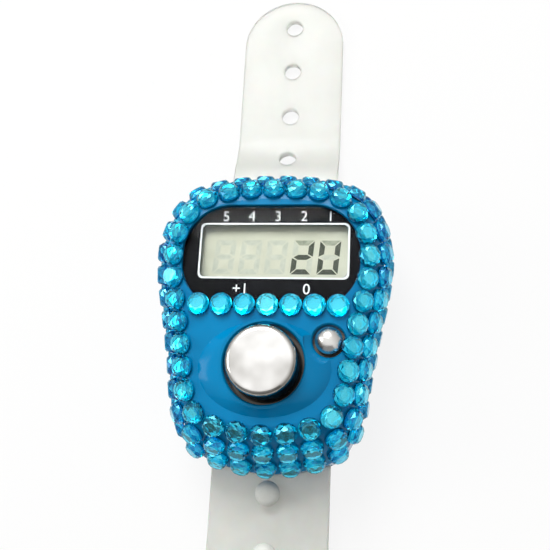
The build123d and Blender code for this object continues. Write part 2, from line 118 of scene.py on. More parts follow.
room_light, wall_light, ceiling_light = 0.36, 0.6, 1.2
wall_steepness, ceiling_steepness = 0.1, 0.95
room = bpy.data.worlds.new("white_room")
room.use_nodes = True
tree = room.node_tree
way = put(tree, "ShaderNodeTexCoord")
steep = put(tree, "ShaderNodeSeparateXYZ", {0: way.outputs["Generated"]})
mirrored = put(tree, "ShaderNodeMapRange", {
    "Value": steep.outputs["Z"], "From Min": wall_steepness, "From Max": ceiling_steepness,
    "To Min": wall_light, "To Max": ceiling_light})
shown = put(tree, "ShaderNodeMapRange", {
    "Value": seen_share(tree), "To Min": room_light, "To Max": mirrored.outputs[0]})
path = put(tree, "ShaderNodeLightPath")
backdrop = put(tree, "ShaderNodeMapRange", {
    "Value": path.outputs["Is Camera Ray"], "To Min": shown.outputs[0], "To Max": 1.0})
sky = tree.nodes["Background"]
sky.inputs["Color"].default_value = linear("#ffffff")
tree.links.new(backdrop.outputs[0], sky.inputs["Strength"])
scene.world = room

# Matt white board: it keeps the shadow, and shows up nearly as white as the room.
table_half, table_drop, glow_share = 1.5, 0.02 * MM, 0.86
square = ((-1, -1), (1, -1), (1, 1), (-1, 1))
table_corners = [(x * table_half, y * table_half, -table_drop) for x, y in square]
table_mesh = bpy.data.meshes.new("table")
table_mesh.from_pydata(table_corners, [], [(0, 1, 2, 3)])
table = bpy.data.objects.new("table", table_mesh)
scene.collection.objects.link(table)
white_board = bpy.data.materials.new("matt_white_board")
white_board.use_nodes = True
tree = white_board.node_tree
matt = tree.nodes["Principled BSDF"]
matt.inputs["Base Color"].default_value = linear("#f4f4f2")
matt.inputs["Roughness"].default_value = 0.9
glow = put(tree, "ShaderNodeEmission", {"Color": linear("#ffffff"), "Strength": 1.0})
lit = put(tree, "ShaderNodeMath", {0: seen_share(tree), 1: glow_share}, operation="MULTIPLY")
mixed = put(tree, "ShaderNodeMixShader", {0: lit.outputs[0], 1: matt.outputs[0], 2: glow.outputs[0]})
tree.links.new(mixed.outputs[0], tree.nodes["Material Output"].inputs["Surface"])
table_mesh.materials.append(white_board)

for name, place, width, watts in (("top_lamp", (-0.12, 0.42, 0.50), 0.34, 3.55),
                                  ("left_lamp", (-0.50, 0.05, 0.30), 0.25, 0.8)):
    lamp_data = bpy.data.lights.new(name, "AREA")
    lamp_data.size, lamp_data.energy = width, watts
    lamp = bpy.data.objects.new(name, lamp_data)
    lamp_turn = Vector(place).to_track_quat("Z", "Y").to_matrix().to_4x4()
    lamp.matrix_world = Matrix.Translation(place) @ lamp_turn
    scene.collection.objects.link(lamp)

# Black paper, seen only in mirrors and through clear parts: dark through the stones, and a glow of mid
# grey for mirror rays, a painted reflection where metal mirrors it.
card_left, card_right, card_low, card_high, card_y = -0.40, 0.20, 0.01, 0.28, -0.24
mirror_glow_strength = 0.28
card_corners = [(card_left, card_y, card_low), (card_right, card_y, card_low),
                (card_right, card_y, card_high), (card_left, card_y, card_high)]
card_mesh = bpy.data.meshes.new("black_card")
card_mesh.from_pydata(card_corners, [], [(0, 1, 2, 3)])
card = bpy.data.objects.new("black_card", card_mesh)
scene.collection.objects.link(card)
black_paper = bpy.data.materials.new("black_paper")
black_paper.use_nodes = True
tree = black_paper.node_tree
paper = tree.nodes["Principled BSDF"]
paper.inputs["Base Color"].default_value = linear("#1c1c1e")
paper.inputs["Roughness"].default_value = 1.0
path = put(tree, "ShaderNodeLightPath")
glossy_rays_only = put(tree, "ShaderNodeMath", {
    0: path.outputs["Is Glossy Ray"], 1: path.outputs["Is Transmission Ray"]}, operation="GREATER_THAN")
mirror_glow = put(tree, "ShaderNodeMath", {0: glossy_rays_only.outputs[0], 1: mirror_glow_strength}, operation="MULTIPLY")
tree.links.new(mirror_glow.outputs[0], paper.inputs["Emission Strength"])
card_mesh.materials.append(black_paper)
card.visible_camera = card.visible_diffuse = card.visible_shadow = False


# Case: front housing and rear cover
# Two injection-moulded halves of blue ABS, polished in the mould, that meet in a stepped seam below the
# stones. Two screws from the back hold them together.
noise_low, noise_high = 0.3, 0.7
grain_detail, cloud_detail = 3.0, 2.0


def surface(name, colour, roughness, grain, spread=0.05, dent=0.0, **sockets):
    """A material whose roughness wanders by spread over grains of that many millimetres. The grains are
    dents of dent millimetres, and the other sockets are named with low lines for spaces."""
    made = bpy.data.materials.new(name)
    made.use_nodes = True
    tree = made.node_tree
    skin = tree.nodes["Principled BSDF"]
    skin.inputs["Base Color"].default_value = linear(colour)
    for socket, value in sockets.items():
        skin.inputs[socket.replace("_", " ")].default_value = value
    spot = put(tree, "ShaderNodeTexCoord")
    noise = put(tree, "ShaderNodeTexNoise", {
        "Vector": spot.outputs["Object"], "Scale": 1 / (grain * MM), "Detail": grain_detail})
    rough = put(tree, "ShaderNodeMapRange", {
        "Value": noise.outputs[0], "From Min": noise_low, "From Max": noise_high,
        "To Min": roughness - spread, "To Max": roughness + spread})
    tree.links.new(rough.outputs[0], skin.inputs["Roughness"])
    if dent:
        relief = put(tree, "ShaderNodeBump", {
            "Height": noise.outputs[0], "Distance": dent * MM, "Strength": 1.0})
        tree.links.new(relief.outputs[0], skin.inputs["Normal"])
    return made


def cloud(made, low, high, size):
    """Lets the material's colour wander between two colours over clouds of that many millimetres."""
    tree = made.node_tree
    spot = put(tree, "ShaderNodeTexCoord")
    noise = put(tree, "ShaderNodeTexNoise", {
        "Vector": spot.outputs["Object"], "Scale": 1 / (size * MM), "Detail": cloud_detail})
    tone = put(tree, "ShaderNodeValToRGB", {"Fac": noise.outputs[0]})
    for stop, place, colour in zip(tone.color_ramp.elements, (noise_low, noise_high), (low, high)):
        stop.position, stop.color = place, linear(colour)
    tree.links.new(tone.outputs[0], tree.nodes["Principled BSDF"].inputs["Base Color"])
    return tone


# Moulded ABS: clear-cut reflections, a little broken by the orange peel of the mould, and faint flow clouds.
blue_abs = surface("moulded_blue_abs", "#0083ba", 0.17, 1.6, spread=0.05, dent=0.006, IOR=1.53,
                   Specular_IOR_Level=0.12)
cloud(blue_abs, "#007cb1", "#008bc4", 9.0)
for node in ("front_housing", "rear_cover"):
    nodes[node].data.materials[0] = blue_abs


# Window: lens, black label and its print
# A clear acrylic lens with polished, rounded edges lies in a recess of the face. The label behind it is
# black film with the view cut out, a white line round it, and plain white numbers.
smooth_below = math.radians(35)
least_radius = 0.02 * MM
weld, fine_weld = 0.001 * MM, 0.0005 * MM


def plate(name, loops, profile, material):
    """A plate from closed loops, the first outside and the others holes. Each loop gives its points for
    an inset, and the profile lists inset and height from the bottom to the top."""
    shape = bmesh.new()
    ends = {0: [], len(profile) - 1: []}
    for loop in loops:
        rings = [[shape.verts.new((x, y, height)) for x, y in loop(inset)] for inset, height in profile]
        for lower, upper in zip(rings, rings[1:]):
            for one, two in zip(range(len(lower)), [*range(1, len(lower)), 0]):
                shape.faces.new((lower[one], lower[two], upper[two], upper[one]))
        for end, edges in ends.items():
            ring = rings[end]
            edges += [shape.edges.get((ring[one], ring[one - 1])) for one in range(len(ring))]
    for edges in ends.values():
        bmesh.ops.triangle_fill(shape, edges=edges, use_beauty=True, use_dissolve=False)
    bmesh.ops.recalc_face_normals(shape, faces=shape.faces)
    return solid(name, shape, material)


def solid(name, shape, material, smooth=smooth_below):
    """The object of a finished bmesh, smooth over edges that turn less than the angle."""
    mesh = bpy.data.meshes.new(name)
    shape.to_mesh(mesh)
    shape.free()
    mesh.materials.append(material)
    mesh.shade_smooth()
    mesh.set_sharp_from_angle(angle=smooth)
    made = bpy.data.objects.new(name, mesh)
    scene.collection.objects.link(made)
    return made


def on_case(piece, slot, *replaced):
    """Lets a piece ride on the case, with the CAD nodes that it stands for hidden; the finish slot is not
    used.
    """
    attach(piece, "case")
    if replaced:
        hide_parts(*replaced)


def rounded_rectangle(middle, width, height, corner, grows=False, steps=10):
    """Loop of a rectangle with round corners; a hole's loop grows with the inset."""
    def loop(inset):
        step_in = -inset if grows else inset
        radius = max(corner - step_in, least_radius)
        points = []
        for quarter, (way_x, way_y) in enumerate(((1, 1), (-1, 1), (-1, -1), (1, -1))):
            centre_x = middle[0] + way_x * (width / 2 - step_in - radius)
            centre_y = middle[1] + way_y * (height / 2 - step_in - radius)
            for step in range(steps + 1):
                turn = math.radians(90 * quarter + 90 * step / steps)
                points.append((centre_x + radius * math.cos(turn), centre_y + radius * math.sin(turn)))
        return points
    return loop


lens_low, lens_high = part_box("window_lens")
lens_middle = ((lens_low.x + lens_high.x) / 2, (lens_low.y + lens_high.y) / 2)
lens_size = (lens_high.x - lens_low.x, lens_high.y - lens_low.y)
lens_corner, lens_edge, lens_bevel, lens_gap = 6.5 * MM, 0.35 * MM, 0.1 * MM, 0.02 * MM
lens_edge_steps = 6
lens_foot = lens_low.z + lens_gap
lens_profile = [(lens_bevel, lens_foot), (0, lens_foot + lens_bevel)]
for step in range(lens_edge_steps + 1):
    turn = math.radians(90 * step / lens_edge_steps)
    lens_profile.append((lens_edge * (1 - math.cos(turn)),
                         lens_high.z - lens_edge * (1 - math.sin(turn))))
# Cast acrylic: clear with a very faint haze of handling. Lamps shine through it on what lies below.
clear_acrylic = surface("polished_clear_acrylic", "#fafcfd", 0.025, 3.0, spread=0.015,
                        Transmission_Weight=1.0, IOR=1.12)
tree = clear_acrylic.node_tree
path = put(tree, "ShaderNodeLightPath")
open_pane = put(tree, "ShaderNodeBsdfTransparent", {"Color": linear("#f4f7f8")})
pane = put(tree, "ShaderNodeMixShader", {
    0: path.outputs["Is Shadow Ray"], 1: tree.nodes["Principled BSDF"].outputs[0],
    2: open_pane.outputs[0]})
tree.links.new(pane.outputs[0], tree.nodes["Material Output"].inputs["Surface"])
lens_outline = rounded_rectangle(lens_middle, *lens_size, lens_corner)
lens = plate("clear_window_lens", [lens_outline], lens_profile, clear_acrylic)
on_case(lens, "clear_acrylic", "window_lens")

# Screen-printed film: deep black with the slight unevenness of the ink.
black_ink = surface("black_ink_on_film", "#0b0b0d", 0.34, 0.8, spread=0.06, dent=0.002,
                    Specular_IOR_Level=0.03)
cloud(black_ink, "#08080a", "#111114", 4.0)
nodes["window_mask"].data.materials[0] = black_ink

# White screen ink: flat and matt, a little thinner in places.
white_ink = surface("white_screen_ink", "#eef0ee", 0.5, 0.25, spread=0.1, dent=0.002,
                    Specular_IOR_Level=0.1)
cloud(white_ink, "#dfe2e0", "#f6f7f5", 0.6)
view_middle, view_size = (0.3 * MM, 8.5 * MM), (20.2 * MM, 7.5 * MM)
line_width, line_corner = 0.24 * MM, 0.75 * MM
line_size = [side + 2 * line_width for side in view_size]
ink_gap, ink_thickness = 0.004 * MM, 0.008 * MM
ink_low = lens_low.z + ink_gap
ink_high = ink_low + ink_thickness
line_loops = [rounded_rectangle(view_middle, *line_size, line_corner),
              rounded_rectangle(view_middle, *view_size, line_corner, grows=True)]
window_line = plate("white_window_line", line_loops, [(0, ink_low), (0, ink_high)], white_ink)
on_case(window_line, "black_print")

number_height, figure_share, number_steps = 1.5 * MM, 0.72, 4
digit_count, digit_pitch, digit_first = 5, 3.62 * MM, -8.35 * MM
number_shift, upper_line, lower_line = 1.8 * MM, 13.40 * MM, 3.05 * MM
count_mark, reset_mark = -4.0 * MM, 5.0 * MM
numbers = [(str(digit_count - place), digit_first + number_shift + place * digit_pitch, upper_line)
           for place in range(digit_count)]
numbers += [("+1", count_mark, lower_line), ("0", reset_mark, lower_line)]
sheet = bmesh.new()
for words, x, y in numbers:
    curve = bpy.data.curves.new("number", "FONT")
    curve.body, curve.size = words, number_height / figure_share
    curve.align_x, curve.align_y, curve.resolution_u = "CENTER", "CENTER", number_steps
    curve.extrude = (ink_high - ink_low) / 2
    written = bpy.data.objects.new("number", curve)
    scene.collection.objects.link(written)
    bpy.context.view_layer.update()
    flat = bpy.data.meshes.new_from_object(written.evaluated_get(bpy.context.evaluated_depsgraph_get()))
    flat.transform(Matrix.Translation((x, y, (ink_high + ink_low) / 2)))
    sheet.from_mesh(flat)
    bpy.data.objects.remove(written)
    bpy.data.meshes.remove(flat)
bmesh.ops.remove_doubles(sheet, verts=sheet.verts, dist=fine_weld)
printed_numbers = solid("printed_numbers", sheet, white_ink)
on_case(printed_numbers, "black_print")


# Display
# A reflective liquid-crystal cell: polariser, two sheets of glass with the crystal between them, and a
# silvery reflector. Five digits of seven segments; the last two show, and the rest are only just seen.
# Polarising film is a soft grey green, the glass clear, and the reflector brushed so that it scatters light.
greyed_film = surface("polariser_film", "#bfbeaa", 0.32, 0.5, spread=0.05, dent=0.001,
                      Specular_IOR_Level=0.05)
cloud(greyed_film, "#bab9a4", "#c5c4b0", 3.0)
clear_glass = surface("display_glass", "#e9f3ee", 0.03, 2.0, spread=0.01, Transmission_Weight=1.0, IOR=1.52)
silver_film = surface("brushed_reflector_film", "#c9ccc4", 0.4, 0.3, spread=0.1, dent=0.002, Metallic=0.8)
for node, finish in (("lcd_front_polariser", greyed_film), ("lcd_front_glass", clear_glass),
                     ("lcd_rear_glass", clear_glass), ("lcd_reflector", silver_film)):
    nodes[node].data.materials[0] = finish

# Liquid crystal: dark olive in a bar that is on, paler in a weak one, and only a trace in one that is off.
dark_crystal = surface("dark_liquid_crystal", "#4c4f45", 0.4, 0.4, spread=0.05, Specular_IOR_Level=0.05)
cloud(dark_crystal, "#44473d", "#55584d", 0.7)
weak_crystal = surface("half_dark_liquid_crystal", "#8e9280", 0.4, 0.4, spread=0.05,
                       Specular_IOR_Level=0.05)
cloud(weak_crystal, "#858977", "#a2a591", 0.7)
rest_crystal = surface("clear_liquid_crystal", "#b4b6a6", 0.35, 0.4, spread=0.05, Specular_IOR_Level=0.05)
cloud(rest_crystal, "#aeb0a0", "#bbbcab", 0.7)

wide, tall, digit_foot = 2.85 * MM, 4.85 * MM, 5.50 * MM
bar, gap, slant = 0.72 * MM, 0.10 * MM, math.tan(math.radians(5))
half, inner_right, inner_top = tall / 2, wide - bar, tall - bar
middle_low, middle_high = half - bar / 2, half + bar / 2
segments = {
    "a": [(gap, tall), (bar + gap, inner_top), (inner_right - gap, inner_top), (wide - gap, tall)],
    "b": [(wide, tall - gap), (inner_right, inner_top - gap), (inner_right, middle_high + gap),
          (wide, half + gap)],
    "c": [(wide, half - gap), (inner_right, middle_low - gap), (inner_right, bar + gap), (wide, gap)],
    "d": [(wide - gap, 0), (inner_right - gap, bar), (bar + gap, bar), (gap, 0)],
    "e": [(0, gap), (bar, bar + gap), (bar, middle_low - gap), (0, half - gap)],
    "f": [(0, half + gap), (bar, middle_high + gap), (bar, inner_top - gap), (0, tall - gap)],
    "g": [(2 * gap, half), (bar + gap, middle_high), (inner_right - gap, middle_high),
          (wide - 2 * gap, half), (inner_right - gap, middle_low), (bar + gap, middle_low)],
}
shown_bars, weak_bars = {3: "abged", 4: "abcdef"}, "a"
film_gap, film_thickness = 0.005 * MM, 0.015 * MM
film_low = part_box("lcd_front_polariser")[1].z + film_gap
film_high = film_low + film_thickness


def bar_state(place, letter):
    """Whether a bar of the digit at a place is on, weak or off."""
    if letter not in shown_bars.get(place, ""):
        return "off"
    return "weak" if letter in weak_bars else "on"


for state, material in (("on", dark_crystal), ("weak", weak_crystal), ("off", rest_crystal)):
    shape = bmesh.new()
    for place in range(digit_count):
        for letter, corners in segments.items():
            if bar_state(place, letter) != state:
                continue
            foot_x = digit_first + place * digit_pitch
            points = [(foot_x + x + y * slant, digit_foot + y) for x, y in corners]
            low = [shape.verts.new((x, y, film_low)) for x, y in points]
            high = [shape.verts.new((x, y, film_high)) for x, y in points]
            shape.faces.new(low)
            shape.faces.new(high)
            for one in range(len(low)):
                shape.faces.new((low[one - 1], low[one], high[one], high[one - 1]))
    bmesh.ops.recalc_face_normals(shape, faces=shape.faces)
    on_case(solid("display_segments_" + state, shape, material), "polariser_film")


# Buttons
# Two chrome-plated ABS caps: a tall flat one that counts, and a small domed one that resets, with a softer
# polish. The colour is bright on top and darker down the skirt: painted shade for the dark gap round the
# cap that the skirt mirrors.
for node, name, roughness, skirt_low, skirt_high in (
        ("count_button", "chrome_plated_abs", 0.15, 14.6 * MM, 17.88 * MM),
        ("reset_button", "chrome_plated_abs_small_cap", 0.26, 12.0 * MM, 14.1 * MM)):
    chrome = surface(name, "#e3e2df", roughness, 2.2, spread=0.06, dent=0.006, Metallic=1.0)
    shade = cloud(chrome, "#c2c0bc", "#fbfaf8", 5.0)
    tree = chrome.node_tree
    spot = put(tree, "ShaderNodeTexCoord")
    height = put(tree, "ShaderNodeSeparateXYZ", {0: spot.outputs["Object"]})
    skirt = put(tree, "ShaderNodeMapRange", {
        "Value": height.outputs["Z"], "From Min": skirt_low, "From Max": skirt_high})
    # Painted shade: a ramp on height darkens the colour down the skirt.
    painted_skirt_shade = put(tree, "ShaderNodeValToRGB", {"Fac": skirt.outputs[0]})
    painted_skirt_shade.color_ramp.elements[0].color = linear("#565350")
    painted_skirt_shade.color_ramp.elements[1].color = linear("#ffffff")
    for place, tone in ((0.18, "#7a7774"), (0.75, "#98948f"), (0.93, "#b4b1ac")):
        painted_skirt_shade.color_ramp.elements.new(place).color = linear(tone)
    plated = put(tree, "ShaderNodeMix", {0: 1.0, 6: shade.outputs[0], 7: painted_skirt_shade.outputs[0]},
                 data_type="RGBA", blend_type="MULTIPLY")
    tree.links.new(plated.outputs[2], tree.nodes["Principled BSDF"].inputs["Base Color"])
    nodes[node].data.materials[0] = chrome


# Key mats under the buttons
# Silicone domes stand on the board and spring the buttons back; a pill of carbon-loaded rubber in each one
# closes the contact.
def turned(name, profile, x, y, material, sides=48):
    """A closed solid turned about an upright line, from radius and height points."""
    shape = bmesh.new()
    chain = [shape.verts.new((radius, 0, height)) for radius, height in profile]
    edges = [shape.edges.new((one, two)) for one, two in zip(chain, [*chain[1:], chain[0]])]
    bmesh.ops.spin(shape, geom=chain + edges, axis=(0, 0, 1), cent=(0, 0, 0), steps=sides, angle=math.tau)
    bmesh.ops.remove_doubles(shape, verts=shape.verts, dist=weld)
    bmesh.ops.dissolve_degenerate(shape, edges=shape.edges, dist=fine_weld)
    bmesh.ops.recalc_face_normals(shape, faces=shape.faces)
    bmesh.ops.translate(shape, verts=shape.verts, vec=(x, y, 0))
    return solid(name, shape, material)


# Moulded silicone lets a little light into its skin; the carbon makes the pills a matt black.
dome_rubber = surface("moulded_silicone_rubber", "#c3c6c4", 0.55, 0.4, spread=0.08, dent=0.004,
                      Subsurface_Weight=0.3, Subsurface_Scale=0.6 * MM)
carbon_rubber = surface("carbon_loaded_rubber", "#1a1a1b", 0.75, 0.15, spread=0.1, dent=0.006)
dome_round, dome_bevel, dome_fold, pill_gap = 0.15 * MM, 0.1 * MM, 0.05 * MM, 0.02 * MM
for dome, joint, foot, crown, web, pill in (
        ("count_rubber_dome", "count_press", 5.0 * MM, 2.8 * MM, 0.45 * MM, "count_carbon_pill"),
        ("reset_rubber_dome", "reset_press", 2.4 * MM, 1.35 * MM, 0.3 * MM, "reset_carbon_pill")):
    low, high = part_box(dome)
    pill_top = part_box(pill)[1].z + pill_gap
    middle = (low + high) / 2
    shoulder, flange = foot - 2 * web, low.z + web
    inside = [(0, pill_top), (crown - web, pill_top), (shoulder - web, low.z)]
    rim = [(foot - dome_bevel, low.z), (foot, low.z + dome_bevel), (foot, flange)]
    slope = [(shoulder + dome_round, flange + dome_fold), (shoulder, flange + dome_round),
             (crown + dome_bevel, pill_top), (crown, pill_top + dome_round)]
    top = [(crown, high.z - dome_round), (crown - dome_round, high.z), (0, high.z)]
    piece = turned(dome.replace("rubber", "silicone"), [*inside, *rim, *slope, *top], middle.x, middle.y,
                   dome_rubber)
    on_case(piece, "dome_rubber", dome)
    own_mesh(piece)
    nodes[pill].data.materials[0] = carbon_rubber


# Rhinestones
# Flat-backed stones of turquoise acrylic, cut with a table and three tiers of facets, mirrored by a foil on
# the back and glued down side by side: one row on the rim, two round the side and one under the window.
def seats(node):
    """The middle of each stone's back and the way it faces, from the CAD stones' own points."""
    shape = bmesh.new()
    shape.from_mesh(nodes[node].data)
    bmesh.ops.remove_doubles(shape, verts=shape.verts, dist=weld)
    shape.verts.ensure_lookup_table()
    seen, found = set(), []
    for first in shape.verts:
        if first.index in seen:
            continue
        island, waiting = [], [first]
        seen.add(first.index)
        while waiting:
            vert = waiting.pop()
            island.append(vert.co.copy())
            for edge in vert.link_edges:
                other = edge.other_vert(vert)
                if other.index not in seen:
                    seen.add(other.index)
                    waiting.append(other)
        points = np.array(island, float)
        middle = points.mean(0)
        axis = np.linalg.eigh(np.cov((points - middle).T))[1][:, 0]
        along = (points - middle) @ axis
        if (along ** 3).sum() < 0:
            axis, along = -axis, -along
        found.append((Vector(middle + axis * along.min()), Vector(axis)))
    shape.free()
    return found


def seating_tree():
    """Geometry nodes that set a copy of a piece on every point, facing along the point's seat_axis."""
    tree = bpy.data.node_groups.new("seated_pieces", "GeometryNodeTree")
    tree.is_modifier = True
    for name, kind in (("Geometry", "Geometry"), ("Piece", "Object"), ("Size Spread", "Float"),
                       ("Lean", "Float"), ("Seed", "Int"), ("Body Material", "Material"),
                       ("Back Material", "Material")):
        tree.interface.new_socket(name, in_out="INPUT", socket_type="NodeSocket" + kind)
    tree.interface.new_socket("Geometry", in_out="OUTPUT", socket_type="NodeSocketGeometry")
    given = put(tree, "NodeGroupInput").outputs
    spin_seed, size_seed, tone_seed, lean_seed = (
        put(tree, "ShaderNodeMath", {0: given["Seed"], 1: float(step)}, operation="ADD").outputs[0]
        for step in range(4))
    piece = put(tree, "GeometryNodeObjectInfo", {"Object": given["Piece"]})
    axis = put(tree, "GeometryNodeInputNamedAttribute", {"Name": "seat_axis"}, data_type="FLOAT_VECTOR")
    negative = put(tree, "ShaderNodeVectorMath", {0: (-1, -1, -1), "Scale": given["Lean"]},
                   operation="SCALE")
    positive = put(tree, "ShaderNodeVectorMath", {0: (1, 1, 1), "Scale": given["Lean"]},
                   operation="SCALE")
    lean = put(tree, "FunctionNodeRandomValue", {
        0: negative.outputs[0], 1: positive.outputs[0], "Seed": lean_seed}, data_type="FLOAT_VECTOR")
    leaning = put(tree, "ShaderNodeVectorMath", {0: axis.outputs["Attribute"], 1: lean.outputs[0]},
                  operation="ADD")
    facing = put(tree, "FunctionNodeAlignRotationToVector", {"Vector": leaning.outputs[0]}, axis="Z")
    spin = put(tree, "FunctionNodeRandomValue", {2: 0.0, 3: math.tau, "Seed": spin_seed},
               data_type="FLOAT")
    turn = put(tree, "FunctionNodeAxisAngleToRotation", {"Axis": (0, 0, 1), "Angle": spin.outputs[1]})
    placed_turn = put(tree, "FunctionNodeRotateRotation", {0: facing.outputs[0], 1: turn.outputs[0]},
                      rotation_space="LOCAL")
    least = put(tree, "ShaderNodeMath", {0: 1.0, 1: given["Size Spread"]}, operation="SUBTRACT")
    size = put(tree, "FunctionNodeRandomValue", {2: least.outputs[0], 3: 1.0, "Seed": size_seed},
               data_type="FLOAT")
    placed = put(tree, "GeometryNodeInstanceOnPoints", {
        "Points": given["Geometry"], "Instance": piece.outputs["Geometry"],
        "Rotation": placed_turn.outputs[0], "Scale": size.outputs[1]})
    tone = put(tree, "FunctionNodeRandomValue", {2: 0.0, 3: 1.0, "Seed": tone_seed}, data_type="FLOAT")
    toned = put(tree, "GeometryNodeStoreNamedAttribute", {
        "Geometry": placed.outputs[0], "Name": "piece_tone", "Value": tone.outputs[1]},
        data_type="FLOAT", domain="INSTANCE")
    real = put(tree, "GeometryNodeRealizeInstances", {"Geometry": toned.outputs[0]})
    body = put(tree, "GeometryNodeSetMaterial", {
        "Geometry": real.outputs[0], "Material": given["Body Material"]})
    backs = put(tree, "GeometryNodeInputNamedAttribute", {"Name": "is_back"}, data_type="BOOLEAN")
    whole = put(tree, "GeometryNodeSetMaterial", {
        "Geometry": body.outputs[0], "Material": given["Back Material"],
        "Selection": backs.outputs["Attribute"]})
    put(tree, "NodeGroupOutput", {"Geometry": whole.outputs[0]})
    return tree


def seat_pieces(name, places, **values):
    """One mesh of copies set on these places, made by the seating tree with its inputs by name."""
    points = bpy.data.meshes.new(name)
    points.from_pydata([spot for spot, _ in places], [], [])
    axes = points.attributes.new("seat_axis", "FLOAT_VECTOR", "POINT")
    axes.data.foreach_set("vector", [part for _, axis in places for part in axis])
    carrier = bpy.data.objects.new(name, points)
    scene.collection.objects.link(carrier)
    modifier = carrier.modifiers.new("seating", "NODES")
    modifier.node_group = seating
    for item in seating.interface.items_tree:
        word = item.name.replace(" ", "_")
        if item.in_out == "INPUT" and word in values:
            modifier[item.identifier] = values[word]
    bpy.context.view_layer.update()
    mesh = bpy.data.meshes.new_from_object(carrier.evaluated_get(bpy.context.evaluated_depsgraph_get()))
    bpy.data.objects.remove(carrier)
    mesh.name = name
    made = bpy.data.objects.new(name, mesh)
    scene.collection.objects.link(made)
    return made


def ring_of(radius, height, count, shift=0.0):
    """Points of the stone on a level circle, turned on by a share of a step."""
    turns = [math.tau * (step + shift) / count for step in range(count)]
    return [shape.verts.new((radius * math.cos(turn), radius * math.sin(turn), height)) for turn in turns]


def facet(corners, tone):
    """A face of the stone, with painted light and a tone of its own drawn from a range."""
    made = shape.faces.new(corners)
    made[facet_tone] = facet_draw.uniform(*tone)
    return made


stone_radius, girdle_low, fold = 1.54 * MM, 0.28 * MM, 8
table_radius, stone_height = 1.0 * MM, 1.26 * MM
crown_radius, crown_height = 1.22 * MM, 1.08 * MM
skirt_radius, skirt_height = 1.42 * MM, 0.70 * MM
# Each tier's range on the colour ramp: the table's is a painted highlight, the girdle's a painted shade, and
# the crown and skirt draw at random in between.
table_painted_highlight, crown_tone = (0.80, 0.95), (0.30, 0.90)
skirt_tone, girdle_painted_shade = (0.10, 0.75), (0.0, 0.05)
facet_draw = np.random.default_rng(11)
shape = bmesh.new()
facet_tone = shape.faces.layers.float.new("facet_tone")
table_ring = ring_of(table_radius, stone_height, fold)
crown_ring = ring_of(crown_radius, crown_height, fold, 0.5)
skirt_ring = ring_of(skirt_radius, skirt_height, fold)
girdle = ring_of(stone_radius, girdle_low, 2 * fold)
rim = ring_of(stone_radius, 0, 2 * fold)
facet(table_ring, table_painted_highlight)
back_face = facet(rim, girdle_painted_shade)
for step in range(fold):
    after = (step + 1) % fold
    main, side = girdle[2 * step], girdle[2 * step + 1]
    facet((table_ring[step], table_ring[after], crown_ring[step]), crown_tone)
    facet((table_ring[step], crown_ring[step - 1], crown_ring[step]), crown_tone)
    facet((crown_ring[step - 1], skirt_ring[step], crown_ring[step]), skirt_tone)
    facet((crown_ring[step], skirt_ring[step], skirt_ring[after]), skirt_tone)
    facet((skirt_ring[step], girdle[2 * step - 1], main), skirt_tone)
    facet((skirt_ring[step], main, side), skirt_tone)
    facet((skirt_ring[step], side, skirt_ring[after]), skirt_tone)
for step in range(2 * fold):
    facet((rim[step - 1], rim[step], girdle[step], girdle[step - 1]), girdle_painted_shade)
bmesh.ops.recalc_face_normals(shape, faces=shape.faces)
shape.faces.index_update()
back_index = back_face.index

# Tinted acrylic over foil: sharp facets, some of which throw the foil's light straight out while others
# stay deep. The facets' colour is painted as well: lightest on the table, a painted highlight, darkest on
# the girdle, a painted shade at the edge, and drawn at random in between for the crown and skirt. Each
# stone is a little lighter or deeper than the next.
stone_acrylic = surface("faceted_turquoise_acrylic", "#20c4f0", 0.03, 0.5, spread=0.02,
                        Transmission_Weight=0.96, IOR=1.42, Metallic=0.18)
tone_shift = 0.12
tree = stone_acrylic.node_tree
tone = put(tree, "ShaderNodeAttribute", attribute_name="piece_tone")
flash = put(tree, "ShaderNodeAttribute", attribute_name="facet_tone")
shifted = put(tree, "ShaderNodeMapRange", {
    "Value": tone.outputs["Fac"], "To Min": -tone_shift, "To Max": tone_shift})
depth = put(tree, "ShaderNodeMath", {0: flash.outputs["Fac"], 1: shifted.outputs[0]}, operation="ADD")
# The ramp runs from a deep blue, the girdle's painted shade, to a near white, the table's painted highlight.
tint = put(tree, "ShaderNodeValToRGB", {"Fac": depth.outputs[0]})
tint.color_ramp.elements[0].color = linear("#006eb2")
tint.color_ramp.elements[1].color = linear("#78f6ff")
tint.color_ramp.elements.new(0.5).color = linear("#00d0f4")
tree.links.new(tint.outputs[0], tree.nodes["Principled BSDF"].inputs["Base Color"])
stone_foil = surface("blue_mirror_foil", "#d8f4fa", 0.06, 0.35, spread=0.03, dent=0.003, Metallic=1.0)

stone = solid("stone_pattern", shape, stone_acrylic, smooth=0.0)
stone.data.shade_flat()
backs = stone.data.attributes.new("is_back", "BOOLEAN", "FACE")
backs.data[back_index].value = True
seating = seating_tree()
first_seed, seed_step = 20, 10
for order, node in enumerate(("rim_stones", "upper_side_stones", "lower_side_stones", "middle_stones")):
    row = seat_pieces(node.replace("stones", "rhinestones"), seats(node), Piece=stone, Size_Spread=0.02,
                      Lean=0.05, Seed=first_seed + seed_step * order, Body_Material=stone_acrylic,
                      Back_Material=stone_foil)
    on_case(row, "stone_acrylic", node)
bpy.data.objects.remove(stone)


